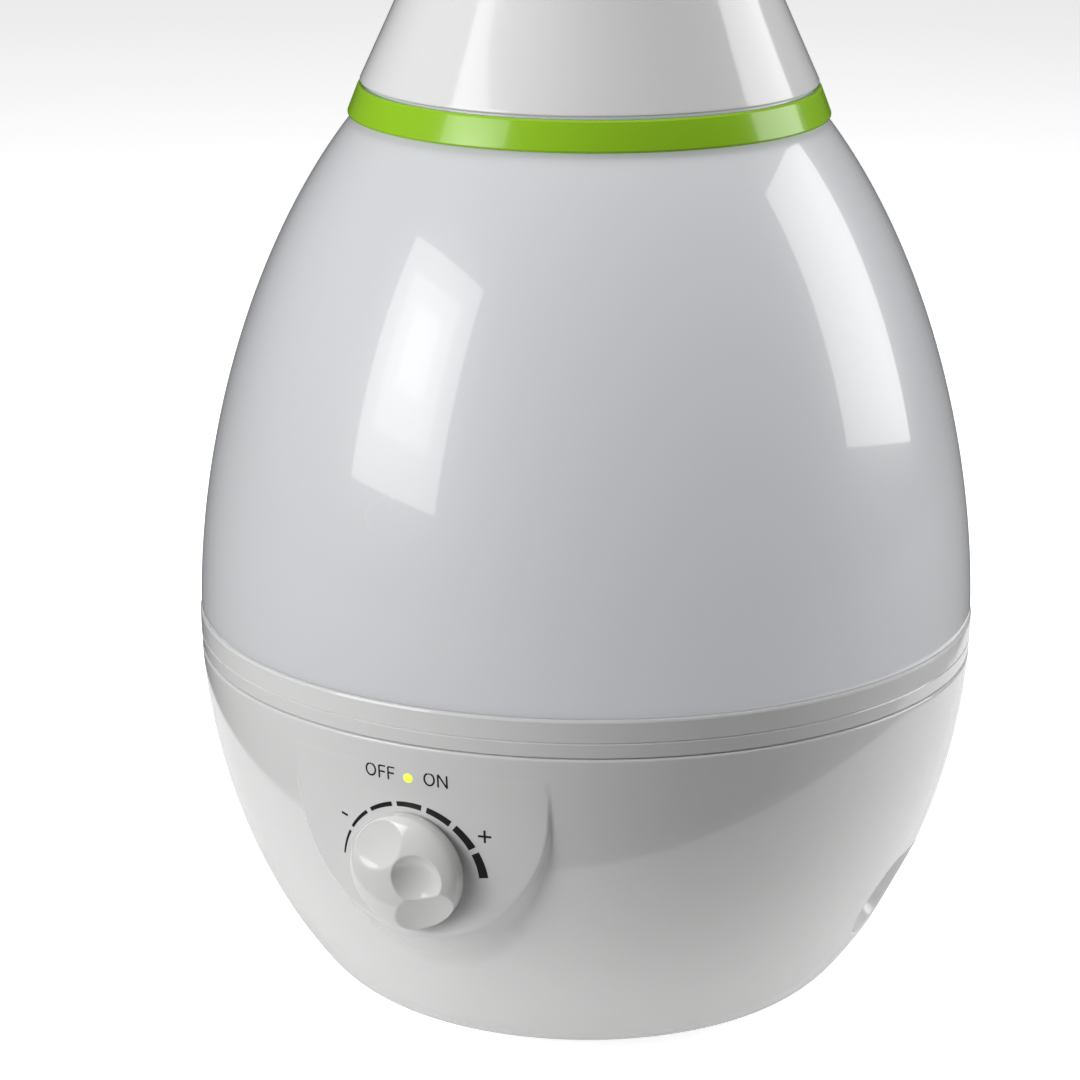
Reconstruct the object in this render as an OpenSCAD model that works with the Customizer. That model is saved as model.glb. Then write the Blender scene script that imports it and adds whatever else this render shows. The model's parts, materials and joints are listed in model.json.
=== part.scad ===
// Cool mist humidifier: an egg-shaped water tank that lifts off a round base.
// Origin: the floor under the object's axis. +Z is up and the control knob faces -Y.

/* [Overall shape] */
// Diameter at the rim of the base, the widest point
rim_d = 222; // [216:1:228]
// Height of the seam between base and tank
seam_z = 113; // [111:1:116]
// Vertical half-axis of the ellipse that shapes the side of the base
bowl_half_axis = 143; // [138:1:150]
// Height above the seam at which the tank's curve would close
tank_reach = 178; // [174:1:184]
// Power in the tank's curve: 2 is an ellipse, less is more pointed
tank_power = 1.86; // [1.8:0.02:1.95]
// Thickness of the moulded shells
wall = 2.5; // [2:0.1:3]
// Height of the tank's shoulder, where the coloured ring sits
shoulder_z = 254; // [250:1:256]
// Height of the top of the cap, where the nozzle turns
mouth_z = 327; // [324:1:330]
// Height of the nozzle above the cap
nozzle_rise = 14.6; // [12:0.2:17]

/* [Control panel] */
// Height of the knob's centre on the panel
knob_z = 66.8; // [65:0.1:68]
// Radius of the knob's skirt
knob_r = 16.4; // [15.5:0.1:17]
// How far the knob stands out of the panel
knob_rise = 9.5; // [9:0.1:11]
// Height where the raised panel runs out into the base
panel_top_z = 95; // [93:1:96]
// Lean of the panel's face, in degrees
panel_lean = 4; // [3:0.5:6]
// Radius of the panel's round outline
panel_r = 40.5; // [38:0.5:43]
// Height of the centre of the panel's outline
panel_z = 87; // [84:1:89]
// Radius of the indicator lens
lens_r = 1.6; // [1.4:0.1:2]
// Height of the indicator lens
lens_z = 92.8; // [90:0.1:93]

/* [Water path] */
// Height of the tray's floor
tray_z = 88; // [87:0.5:89]
// Inner radius of the mist chamber
chamber_r = 38.5; // [37.5:0.5:39]
// Inner radius of the mist pipe
pipe_r = 22; // [20:0.5:23]
// Distance of the filler cap from the axis
filler_y = 72; // [70:1:74]
// Travel of the filler valve
valve_travel = 3.8; // [3:0.1:3.8]
// Travel of the float
float_travel = 7; // [5:0.5:7]

/* [Base fittings] */
// Outer radius of the rubber foot ring
foot_r = 50; // [49:0.5:50]
// Height of the foot ring under the bottom cover
foot_h = 3; // [3:0.1:3]
// Distance of the housing screws from the axis
screw_ring_r = 54.8; // [54:0.2:55]
// Width of each finger recess
grip_w = 36; // [32:1:40]
// Height of each finger recess
grip_h = 26; // [22:1:28]
// Height of the centre of each finger recess
grip_z = 37; // [35:1:40]
// How far behind the sides the finger recesses lie, in degrees
grip_turn = 3; // [0:1:8]

/* [Hidden] */
$fn = 96;

e = 0.01;                    // makes one solid bite into the next
gap = 0.3;                   // between pieces that move apart
rim_r = rim_d / 2;
bowl_top_z = seam_z - 11;    // top edge of the base shell, under the basin's rim
rim_in_r = rim_r - 1.7;      // inside of the basin's rim
ledge_z = seam_z - 6.5;      // ledge under the tank's skirt
tray_r = rim_r - 14;         // inside of the tray's wall
tray_floor = 2.5;
under_z = tray_z - tray_floor;
chamber_wall = 2;
chamber_top = seam_z - 1;
tower_y = 29.5;              // air tower, beside the well and inside the chamber
tower_r = 6;
tower_wall = 2;
well_r = 18;
well_z = 72.5;               // floor of the well over the transducer
well_wall = 2.5;
disc_r = 10;
tank_foot_z = seam_z + gap;
tank_r0 = rim_r - 0.3;       // the tank stands just inside the rim
floor_z = seam_z + 0.5;      // underside of the tank's floor plate
floor_top = floor_z + wall;
neck_r = 17;                 // bore of the filler neck
neck_out = 19.5;
neck_z = 105.3;              // lower end of the filler neck
seat_z = 103;                // face that the filler valve closes on
cap_r = 23;
cap_foot_z = 93;
stem_r = 2.15;
guide_r = 2.2;               // guide bore: 0.05 mm of running clearance
button_r = 5.5;
button_z = tray_z + 2.6;
shoulder_r = 62.5;           // outside of the tank's neck, inside the ring
collar_z = shoulder_z + 8.8; // top of the tank's neck
deck_z = shoulder_z + 2;
ring_low_r = 67.3;
ring_high_r = 64.4;
ring_top_z = shoulder_z + 8.3;
cap_z = collar_z + 0.4;
cap_low_r = 64;
cap_high_r = 37.5;
cap_wall = 2.2;
spout_r = 33;                // nozzle collar, turning in the cap
float_at = [-62, -36, 0];
post_r = 5;
float_h = 8;
float_z = tray_z + 0.6;
foot_in_r = foot_r - 6;
opening_r = 60;              // hole in the underside of the base shell
cover_r = opening_r + 3.7;
fan_at = [0, tower_y, 0];
fan_w = 50;
fan_z = 16;
fan_h = 15;
fan_bore = 23;
fan_hole = 20;               // from the fan's centre to each screw, along X and Y
board_at = [-64, 0, 60.4];
board_size = [40, 80, 1.6];
gland_z = 32;
gland_lean = atan(rim_r * rim_r * (seam_z - gland_z) / pow(bowl_half_axis, 2) / bowl_r(gland_z));
lens_at_r = rim_r - 1.2;

// Radius of the base's side at height z
function bowl_r(z) = rim_r * sqrt(1 - pow((seam_z - z) / bowl_half_axis, 2));
// Radius of the tank's side at height z
function tank_r(z) = tank_r0 * sqrt(1 - pow((z - seam_z) / tank_reach, tank_power));
// Radius of the raised panel's face at height z
function panel_face_r(z) = bowl_r(panel_top_z) - (panel_top_z - z) * tan(panel_lean);

function curve3(a, b, c, t) = a * pow(1 - t, 2) + b * 2 * t * (1 - t) + c * t * t;
function curve4(a, b, c, d, t) =
    a * pow(1 - t, 3) + b * 3 * t * pow(1 - t, 2) + c * 3 * t * t * (1 - t) + d * pow(t, 3);
function backwards(p) = [for (i = [len(p) - 1 : -1 : 0]) p[i]];
function along(p, i) = let (a = p[max(i - 1, 0)], b = p[min(i + 1, len(p) - 1)]) (b - a) / norm(b - a);
// The outline p moved inwards by d
function inset(p, d) = [for (i = [0 : len(p) - 1]) let (t = along(p, i)) p[i] + d * [-t[1], t[0]]];

// Height where the round foot of the base turns into its elliptical side
foot_bend_z = 12;
foot_bend_r = bowl_r(foot_bend_z);
foot_bend_slope = (rim_r / bowl_half_axis) * (rim_r / bowl_half_axis)
    * (seam_z - foot_bend_z) / foot_bend_r;
foot_corner = [foot_bend_r - (foot_bend_z - foot_h) * foot_bend_slope, foot_h];
bowl_steps = 18;
bowl_profile = concat(
    [for (i = [0 : 5]) curve3([opening_r - 1, foot_h], foot_corner, [foot_bend_r, foot_bend_z], i / 6)],
    [for (i = [0 : bowl_steps]) let (z = foot_bend_z + (bowl_top_z - foot_bend_z) * i / bowl_steps)
        [bowl_r(z), z]]);
tank_steps = 22;
tank_profile = [for (i = [0 : tank_steps])
    let (z = tank_foot_z + (shoulder_z - tank_foot_z) * i / tank_steps) [tank_r(z), z]];
cap_profile = [for (i = [0 : 12]) curve4([cap_low_r, cap_z], [54.4, cap_z + 21],
    [44, mouth_z - 21], [cap_high_r, mouth_z], i / 12)];
nozzle_profile = [for (i = [0 : 12]) let (a = 88 * i / 12)
    [36.9 * cos(a), mouth_z + 0.4 + nozzle_rise * sin(a)]];

// Depth of the knob's socket for the potentiometer shaft
socket_h = 5;

// Knob, shaft and potentiometer share this frame: the face of the panel, +Z outwards
module at_knob() {
    translate([0, -panel_face_r(knob_z), knob_z])
        rotate([90 + panel_lean, 0, 0])
            children();
}

// Cord gland, square to the back of the base: +Z outwards
module at_gland() {
    rotate([0, 0, 90])
        translate([bowl_r(gland_z), 0, gland_z])
            rotate([0, 90 + gland_lean, 0])
                children();
}

module shell(p, t) {
    rotate_extrude()
        polygon(concat(p, backwards(inset(p, t))));
}

module tube(r, t, z0, z1) {
    translate([0, 0, z0])
        difference() {
            cylinder(h = z1 - z0, r = r + t);
            translate([0, 0, -1])
                cylinder(h = z1 - z0 + 2, r = r);
        }
}

module disc(r, z0, z1) {
    translate([0, 0, z0])
        cylinder(h = z1 - z0, r = r);
}

module around(n, r, start = 0) {
    for (i = [0 : n - 1])
        rotate([0, 0, start + 360 * i / n])
            translate([r, 0, 0])
                children();
}

module stadium(w, h) {
    square([w - h, h], center = true);
    for (s = [-1, 1])
        translate([s * (w - h) / 2, 0])
            circle(d = h);
}

// A screw along +Z: head below z = 0, shaft above
module screw(r, len, head_r, head_h) {
    translate([0, 0, -e])
        cylinder(h = len, r = r);
    difference() {
        translate([0, 0, -head_h])
            cylinder(h = head_h, r = head_r);
        for (a = [0, 90])
            rotate([0, 0, a])
                translate([-head_r, -0.4, -head_h - 1])
                    cube([2 * head_r, 0.8, 1.7]);
    }
}

// A wire swept through the points p: a ring of corners at each point, joined by side faces
function wire_ring(p, i, r, n) =
    let (t = along(p, i), s = cross(t, [0.3, 1, 0.2]), u = s / norm(s), v = cross(t, u))
    [for (k = [0 : n - 1]) p[i] + r * (cos(360 * k / n) * u + sin(360 * k / n) * v)];

module wire(p, r) {
    n = 8;
    last = len(p) - 1;
    polyhedron(
        points = [for (i = [0 : last]) each wire_ring(p, i, r, n)],
        faces = concat(
            [[for (k = [0 : n - 1]) k]],
            [[for (k = [n - 1 : -1 : 0]) last * n + k]],
            [for (i = [0 : last - 1], k = [0 : n - 1])
                [i * n + k, (i + 1) * n + k, i * n + (k + 1) % n]],
            [for (i = [0 : last - 1], k = [0 : n - 1])
                [i * n + (k + 1) % n, (i + 1) * n + k, (i + 1) * n + (k + 1) % n]]));
}

// ---------------------------------------------------------------- lid

module nozzle() {
    color("white")
    difference() {
        union() {
            shell(nozzle_profile, 2);
            tube(spout_r - 2, 2, mouth_z - 8, mouth_z + 2.4);
            tube(spout_r - 2, 5, mouth_z + 0.4, mouth_z + 2.4);
            disc(3, mouth_z + nozzle_rise - 3, mouth_z + nozzle_rise + 0.4);
        }
        // the mist leaves through a sloping mouth on one side
        translate([0, -22, mouth_z + 9])
            rotate([38, 0, 0])
                linear_extrude(height = 16, center = true)
                    stadium(30, 11);
    }
}

module top_cap() {
    color("white") {
        difference() {
            shell(cap_profile, cap_wall);
            disc(cap_low_r, cap_z - 5, cap_z);
        }
        // skirt that drops inside the tank's neck, and the web that carries it
        tube(57.3, 2.2, deck_z + 3, cap_z + 2.2);
        tube(57.3, 4.6, cap_z, cap_z + 2.2);
        // collar that the nozzle turns in
        tube(spout_r + gap, cap_high_r - cap_wall - spout_r - gap + 0.6, mouth_z - 9, mouth_z);
    }
}

module mist_guide() {
    color("whitesmoke")
    rotate_extrude()
        polygon([[18, 250], [20, 250], [20, 296], [31.5, 314], [36.5, 316], [36.5, 317.9],
                 [31, 317.9], [29, 315.5], [18, 298]]);
}

// ---------------------------------------------------------------- tank

module accent_ring() {
    color("yellowgreen")
    rotate_extrude()
        polygon([[shoulder_r + 0.1, shoulder_z + 0.1], [ring_low_r - 0.4, shoulder_z + 0.1],
                 [ring_low_r, shoulder_z + 0.5], [ring_high_r + 0.2, ring_top_z - 0.4],
                 [ring_high_r - 0.4, ring_top_z], [shoulder_r + 0.1, ring_top_z]]);
}

module tank_shell() {
    color("gainsboro") {
        shell(tank_profile, wall);
        // shoulder, neck and the deck around the mist pipe
        tube(shoulder_r - wall, tank_r(shoulder_z) - shoulder_r + wall - 0.3,
             shoulder_z - wall, shoulder_z);
        tube(shoulder_r - wall, wall, shoulder_z - wall, collar_z);
        tube(pipe_r + 3.6, shoulder_r - wall - pipe_r - 3.6 + e, deck_z - wall, deck_z);
    }
}

module tank_floor() {
    color("gainsboro")
    difference() {
        union() {
            rotate_extrude()
                polygon([[chamber_r + 5, floor_z], [rim_r - 5, floor_z], [rim_r - 5, seam_z - 6],
                         [rim_r - 2.2, seam_z - 6], [rim_r - 2.2, tank_foot_z - 0.1],
                         [tank_r0 - wall - 0.1, tank_foot_z - 0.1], [tank_r0 - wall - 0.2, floor_top],
                         [chamber_r + 5, floor_top]]);
            // filler neck with its screw ridges
            translate([0, filler_y, neck_z])
                cylinder(h = floor_top - neck_z, r = neck_out);
            for (z = [106.3, 108.6, 110.9])
                translate([0, filler_y, z])
                    cylinder(h = 1, r = neck_out + 0.8);
        }
        translate([0, filler_y, neck_z - 1])
            cylinder(h = 20, r = neck_r);
    }
}

module mist_pipe() {
    color("gainsboro")
    rotate_extrude()
        polygon([[chamber_r + 2.9, seam_z - 7], [chamber_r + 4.9, seam_z - 7],
                 [chamber_r + 4.9, floor_top + 0.5], [pipe_r + 2, floor_top + 34],
                 [pipe_r + 2, collar_z - 0.8], [pipe_r, collar_z - 0.8], [pipe_r, floor_top + 33],
                 [chamber_r + 2.9, floor_top]]);
}

module pipe_seal() {
    color("dimgray")
    tube(pipe_r + 2.05, 1.5, deck_z - wall, deck_z);
}

// ---------------------------------------------------------------- filler cap and valve

module filler_cap() {
    color("white")
    translate([0, filler_y, 0])
        difference() {
            union() {
                disc(cap_r, cap_foot_z, seam_z - 0.7);
                around(24, cap_r)
                    disc(0.9, cap_foot_z, seam_z - 2);
            }
            disc(neck_out + 1.1, seat_z, seam_z + 1);
            disc(19, cap_foot_z - 1, seat_z - 2);
            // the water passes between the three arms that hold the valve's guide
            difference() {
                disc(7, seat_z - 3, seat_z + 1);
                disc(4, seat_z - 4, seat_z + 2);
                around(3, 0)
                    translate([0, -1, seat_z - 4])
                        cube([8, 2, 6]);
            }
            disc(guide_r, seat_z - 4, seat_z + 2);
        }
}

module filler_gasket() {
    color("dimgray")
    translate([0, filler_y, 0])
        tube(neck_r - 0.5, 4, seat_z, neck_z - gap);
}

module valve_stem() {
    color("white")
    translate([0, filler_y, 0]) {
        disc(button_r, button_z, button_z + 2);
        disc(stem_r, button_z, seat_z + valve_travel + 3.2);
        disc(8, seat_z + valve_travel + 1.7, seat_z + valve_travel + 3.2);
    }
}

module valve_seal() {
    color("dimgray")
    translate([0, filler_y, 0])
        tube(stem_r + 0.02, 7.3, seat_z + valve_travel + 0.2, seat_z + valve_travel + 1.7);
}

module valve_spring() {
    turns = 5;
    low_z = button_z + 2;
    high_z = seat_z - 2;
    color("silver")
    translate([0, filler_y, 0])
        for (i = [0 : turns])
            translate([0, 0, low_z + 0.4 + (high_z - low_z - 0.8) * i / turns])
                rotate_extrude()
                    translate([3.2, 0])
                        circle(r = 0.35, $fn = 16);
}

// ---------------------------------------------------------------- basin, float

module float_post() {
    translate(float_at) {
        disc(post_r, tray_z - 1, float_z + float_h + float_travel + 0.4);
        disc(1.5, tray_z, float_z + float_h + float_travel + 3);
    }
}

module basin() {
    color("white")
    difference() {
        union() {
            rotate_extrude()
                polygon([[0, under_z], [tray_r + 2.5, under_z], [tray_r + 2.5, bowl_top_z + 0.3],
                         [rim_r - 5.6, bowl_top_z + 0.3], [rim_r - 5.6, bowl_top_z - 4],
                         [rim_r - 3.8, bowl_top_z - 4], [rim_r - 3.8, bowl_top_z + 0.3],
                         [bowl_r(bowl_top_z) - 0.4, bowl_top_z + 0.3],
                         [bowl_r(bowl_top_z) - 0.1, bowl_top_z + 0.6],
                         // shallow groove round the rim, level with the ledge inside
                         [bowl_r(ledge_z), ledge_z - 0.3], [bowl_r(ledge_z) - 0.3, ledge_z],
                         [bowl_r(ledge_z), ledge_z + 0.3],
                         [rim_r, seam_z - 0.8], [rim_r - 0.2, seam_z - 0.2], [rim_r - 0.8, seam_z],
                         [rim_in_r + 0.3, seam_z], [rim_in_r, seam_z - 0.3], [rim_in_r, ledge_z],
                         [tray_r, ledge_z], [tray_r, tray_z], [0, tray_z]]);
            tube(chamber_r, chamber_wall, tray_z - 1, chamber_top);
            disc(well_r + well_wall, well_z - well_wall, tray_z - 1);
            // ring and bosses that carry the transducer
            disc(15, well_z - 4.9, well_z - 1);
            around(3, 17, 30)
                disc(2.6, well_z - 4.9, well_z - 1);
            translate([0, tower_y, 0])
                disc(tower_r + tower_wall, tray_z - 1, chamber_top - 2);
            translate([0, filler_y, 0])
                disc(4, tray_z - 1, button_z - gap);
            float_post();
            // posts for the housing screws
            around(4, screw_ring_r, 45)
                disc(4, 6.1, tray_z - 1);
            // pillars for the driver board
            for (x = [-16, 16], y = [-36, 36])
                translate([board_at[0] + x, y, 0])
                    disc(3, board_at[2] + board_size[2] + 0.1, tray_z - 1);
        }
        disc(well_r, well_z, tray_z + 1);
        disc(disc_r - 1.5, well_z - 6, well_z + 1);
        disc(13, well_z - 6, well_z - 2.5);
        around(3, 17, 30)
            disc(1.25, well_z - 6, well_z - 1);
        // gates that let the water into the mist chamber
        for (i = [0 : 3])
            rotate([0, 0, 45 + 90 * i])
                translate([chamber_r - 2, -3.5, tray_z])
                    cube([6, 7, 9]);
        translate([0, tower_y, 0])
            disc(tower_r, under_z - 1, chamber_top);
        translate(float_at)
            disc(3, under_z - 1, float_z + float_h + float_travel - 2);
        around(4, screw_ring_r, 45)
            disc(1.55, 5, 25);
        for (x = [-16, 16], y = [-36, 36])
            translate([board_at[0] + x, y, 0])
                disc(1.25, board_at[2], board_at[2] + 12);
    }
}

module float_ring() {
    color("lightskyblue")
    translate(float_at)
        difference() {
            tube(post_r + 0.6, 7.4, float_z, float_z + float_h);
            tube(post_r + 2, 3, float_z - 1, float_z + 3);
        }
}

module float_magnet() {
    color("dimgray")
    translate(float_at)
        tube(post_r + 2.05, 2.9, float_z + 0.2, float_z + 2.9);
}

module float_retainer() {
    color("white")
    translate(float_at)
        tube(1.52, 6, float_z + float_h + float_travel + 0.4, float_z + float_h + float_travel + 2);
}

module reed_switch() {
    color("lightgreen")
    translate(float_at)
        disc(1.5, tray_z + 1, float_z + float_h + 2);
}

// ---------------------------------------------------------------- base housing

module panel_pad() {
    // the pad bites half-way into the wall behind it
    low_z = panel_z - panel_r - 6;
    intersection() {
        rotate_extrude()
            polygon(concat([[panel_face_r(low_z), low_z], [panel_face_r(panel_top_z), panel_top_z]],
                [for (i = [12 : -1 : 0]) let (z = low_z + (panel_top_z - low_z) * i / 12)
                    [bowl_r(z) - wall / 2, z]]));
        translate([0, -rim_r - 20, panel_z])
            rotate([-90, 0, 0])
                cylinder(h = 60, r = panel_r);
    }
}

module grip_pockets(extra) {
    depth = 8;
    for (a = [grip_turn, 180 - grip_turn])
        rotate([0, 0, a])
            translate([bowl_r(grip_z) - depth - extra, 0, grip_z])
                rotate([90, 0, 90])
                    linear_extrude(height = 40)
                        stadium(grip_w + 2 * extra, grip_h + 2 * extra);
}

module base_shell() {
    color("white")
    difference() {
        union() {
            shell(bowl_profile, wall);
            panel_pad();
            tube(opening_r - 1, 8, foot_h + 0.6, foot_h + 4);
            // liners of the finger recesses
            intersection() {
                grip_pockets(2);
                rotate_extrude()
                    polygon(concat([[0, foot_h + 1]], inset(bowl_profile, wall / 2), [[0, bowl_top_z]]));
            }
        }
        grip_pockets(0);
        // the bottom cover sits in this step
        disc(opening_r, 0, 10);
        disc(cover_r + 0.3, 0, foot_h + 1.5);
        // flat seat and hole for the potentiometer
        at_knob() {
            translate([0, 0, -14])
                cylinder(h = 10.5, r = 11);
            translate([0, 0, -8])
                cylinder(h = 12, r = 3.6);
            translate([0, 0, -1.8])
                cylinder(h = 5, r = 7);
        }
        translate([0, -rim_r - 5, lens_z])
            rotate([-90, 0, 0])
                cylinder(h = 20, r = lens_r + 0.05);
        at_gland()
            translate([0, 0, -20])
                cylinder(h = 40, r = 5.6);
    }
}

module bottom_cover() {
    color("white")
    difference() {
        union() {
            disc(cover_r, foot_h, foot_h + 1.3);
            disc(opening_r - 0.3, foot_h, foot_h + 3);
            // stand-offs for the fan and the transformer
            translate(fan_at)
                for (x = [-fan_hole, fan_hole], y = [-fan_hole, fan_hole])
                    translate([x, y, 0])
                        disc(3, foot_h, fan_z);
            for (x = [-30, 30])
                translate([x, -26, 0])
                    disc(4, foot_h, 9);
        }
        tube(foot_in_r - 0.1, foot_r - foot_in_r + 0.2, 0, foot_h + 1);
        around(4, screw_ring_r, 45)
            disc(1.7, 0, 10);
        around(4, screw_ring_r, 45)
            disc(3.3, 0, foot_h + 1.2);
        // air slots outside the foot ring, at the back for the fan and at the front
        for (side = [0, 180], a = [60 : 5 : 120])
            rotate([0, 0, side + a])
                translate([foot_r + 1.2, -1, 0])
                    cube([7, 2, foot_h + 3.1]);
        translate(fan_at)
            for (x = [-fan_hole, fan_hole], y = [-fan_hole, fan_hole])
                translate([x, y, 0])
                    disc(1.5, 8, fan_z + 1);
        for (x = [-30, 30])
            translate([x, -26, 0])
                disc(1.5, 5, 10);
    }
}

module foot_ring() {
    color("dimgray")
    tube(foot_in_r, foot_r - foot_in_r, 0, foot_h + 1);
}

module housing_screws() {
    color("silver")
    around(4, screw_ring_r, 45)
        translate([0, 0, foot_h + 1.2])
            screw(1.5, 16, 3.1, 1.1);
}

// ---------------------------------------------------------------- mist maker

module transducer_disc() {
    color("gold")
    disc(disc_r, well_z - 4.2, well_z - 3.2);
}

module transducer_seal() {
    color("dimgray")
    difference() {
        tube(disc_r - 1.5, 4.2, well_z - 4.9, well_z - 2.5);
        disc(disc_r, well_z - 4.2, well_z - 3.2);
    }
}

module transducer_holder() {
    color("silver")
    difference() {
        tube(disc_r - 2.5, 12, well_z - 6.5, well_z - 4.9);
        around(3, 17, 30)
            disc(1.4, well_z - 8, well_z - 4);
    }
}

module transducer_screws() {
    color("silver")
    around(3, 17, 30)
        translate([0, 0, well_z - 6.5])
            screw(1.2, 5, 2.4, 1.4);
}

module driver_board() {
    color("seagreen")
    translate(board_at)
        difference() {
            translate([-board_size[0] / 2, -board_size[1] / 2, 0])
                cube(board_size);
            for (x = [-16, 16], y = [-36, 36])
                translate([x, y, -1])
                    cylinder(h = 4, r = 1.4);
        }
}

module board_screws() {
    color("silver")
    for (x = [-16, 16], y = [-36, 36])
        translate([board_at[0] + x, y, board_at[2]])
            screw(1.2, 9, 2.4, 1.4);
}

module capacitors() {
    color("midnightblue")
    for (y = [-14, 2])
        translate([board_at[0] + 8, y, board_at[2] - 14])
            cylinder(h = 14, r = 5);
}

module heat_sink() {
    color("silver")
    translate([board_at[0] - 8, -12, board_at[2] - 24]) {
        cube([3, 24, 24]);
        for (i = [0 : 5])
            translate([-7, i * 4.5, 0])
                cube([7.1, 1.5, 24]);
    }
}

module power_transistor() {
    color("black")
    translate([board_at[0] - 5, -5, board_at[2] - 18])
        cube([4.4, 10, 14]);
}

module transformer_core() {
    color("slategray")
    translate([0, -26, 9])
        difference() {
            translate([-21, -8, 2])
                cube([42, 16, 35]);
            for (s = [-1, 1])
                translate([s * 10.5 - 3.5, -9, 9])
                    cube([7, 18, 21]);
        }
    // strap with two fixing ears
    color("slategray")
    translate([0, -26, 9])
        difference() {
            translate([-36, -5, 0])
                cube([72, 10, 2]);
            for (x = [-30, 30])
                translate([x, 0, -1])
                    cylinder(h = 4, r = 1.7);
        }
}

module transformer_winding() {
    color("peru")
    translate([0, -26, 18.2])
        difference() {
            translate([-13.8, -14, 0])
                cube([27.6, 28, 20.6]);
            translate([-7.1, -8.1, -1])
                cube([14.2, 16.2, 24]);
        }
}

module transformer_screws() {
    color("silver")
    for (x = [-30, 30])
        translate([x, -26, 11])
            rotate([180, 0, 0])
                screw(1.45, 5, 2.8, 1.4);
}

// ---------------------------------------------------------------- control

module potentiometer_body() {
    color("silver")
    at_knob()
        difference() {
            union() {
                translate([0, 0, -14])
                    cylinder(h = 10.4, r = 8.5);
                translate([0, 0, -5])
                    cylinder(h = 5, r = 3.5);
            }
            translate([0, 0, -13])
                cylinder(h = 20, r = 3.05);
        }
}

module pot_nut() {
    color("silver")
    at_knob()
        translate([0, 0, -1.7])
            difference() {
                cylinder(h = 1.5, r = 5.5, $fn = 6);
                translate([0, 0, -1])
                    cylinder(h = 4, r = 3.55);
            }
}

module pot_shaft() {
    color("silver")
    at_knob()
        translate([0, 0, -12.8])
            cylinder(h = 12.8 + socket_h, r = 3);
}

module knob() {
    dome_z = 4;
    profile = concat(
        [[0, 0.7], [knob_r - 1.6, 0.7], [knob_r - 0.5, 0.9], [knob_r, 1.9]],
        [for (i = [0 : 10]) let (a = 88 * i / 10)
            [(knob_r - 0.3) * cos(a), dome_z + (knob_rise - dome_z) * sin(a)]],
        [[0, knob_rise]]);
    color("white")
    at_knob()
        difference() {
            rotate_extrude()
                polygon(profile);
            // thumb and finger scoops on both sides of the grip ridge, open outwards
            for (side = [0, 180])
                rotate([0, 0, side - 38]) {
                    translate([6.9, 0, knob_rise + 3])
                        sphere(r = 7);
                    translate([14.5, 0, knob_rise + 0.5])
                        sphere(r = 7.5);
                }
            // socket for the shaft, and the hollow around it
            cylinder(h = socket_h, r = 3);
            tube(5.9, 5, 0, 2.2);
            cylinder(h = 2.6, r = 7);
        }
}

module led_lens() {
    color("yellow")
    translate([0, -lens_at_r, lens_z])
        rotate([-90, 0, 0])
            difference() {
                cylinder(h = 4.4, r = lens_r);
                translate([0, 0, -1])
                    cylinder(h = 1, r = 4);
            }
}

module led_lamp() {
    color("palegreen")
    translate([0, -lens_at_r + 4.6, lens_z])
        rotate([-90, 0, 0]) {
            cylinder(h = 3.2, r = 2.5);
            translate([0, 0, 3.2])
                cylinder(h = 1.2, r = 3.6);
        }
}

// ---------------------------------------------------------------- fan

module fan_housing() {
    color("black")
    translate(fan_at)
        difference() {
            union() {
                difference() {
                    translate([-fan_w / 2, -fan_w / 2, fan_z])
                        cube([fan_w, fan_w, fan_h]);
                    disc(fan_bore, fan_z - 1, fan_z + fan_h + 1);
                }
                disc(9.5, fan_z, fan_z + 2);
                around(3, 0)
                    translate([8, -1.5, fan_z])
                        cube([fan_bore - 7, 3, 2]);
            }
            for (x = [-fan_hole, fan_hole], y = [-fan_hole, fan_hole])
                translate([x, y, 0])
                    disc(1.6, fan_z - 1, fan_z + fan_h + 1);
        }
}

module fan_motor() {
    color("saddlebrown")
    translate(fan_at)
        tube(1.55, 5.4, fan_z + 2, fan_z + 10);
}

module fan_impeller() {
    color("dimgray")
    translate(fan_at) {
        difference() {
            disc(9.8, fan_z + 2.4, fan_z + 13);
            disc(7.6, fan_z + 2, fan_z + 11);
        }
        around(7, 9.2)
            translate([0, 0, fan_z + 7.6])
                rotate([38, 0, 0])
                    translate([0, -0.6, -5])
                        cube([12.8, 1.2, 10]);
    }
}

module fan_shaft() {
    color("silver")
    translate(fan_at)
        disc(1.5, fan_z + 2.2, fan_z + 11);
}

module fan_screws() {
    color("silver")
    translate(fan_at)
        for (x = [-fan_hole, fan_hole], y = [-fan_hole, fan_hole])
            translate([x, y, fan_z + fan_h + 2])
                rotate([180, 0, 0])
                    screw(1.45, 24, 2.7, 1.6);
}

module air_duct() {
    top = fan_z + fan_h;
    color("whitesmoke")
    translate(fan_at)
        difference() {
            union() {
                translate([-fan_w / 2, -fan_w / 2, top])
                    cube([fan_w, fan_w, 2]);
                translate([0, 0, top + 2 - e])
                    cylinder(h = 15, r1 = 24, r2 = tower_r + 2.3);
                disc(tower_r + 2.3, top + 16, under_z - 0.1);
            }
            translate([0, 0, top - e])
                cylinder(h = 16, r1 = 22.5, r2 = tower_r + 0.3);
            disc(tower_r + 0.3, top + 15, under_z + 1);
            for (x = [-fan_hole, fan_hole], y = [-fan_hole, fan_hole])
                translate([x, y, 0])
                    disc(1.6, top - 1, top + 3);
        }
}

// ---------------------------------------------------------------- power inlet and wires

module cord_gland() {
    color("dimgray")
    at_gland()
        difference() {
            union() {
                translate([0, 0, 0.05])
                    cylinder(h = 2, r = 8.5);
                translate([0, 0, -12])
                    cylinder(h = 13, r = 5.5);
                translate([0, 0, -5.6])
                    cylinder(h = 1.8, r = 8);
            }
            translate([0, 0, -14])
                cylinder(h = 20, r = 3.3);
        }
}

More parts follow.
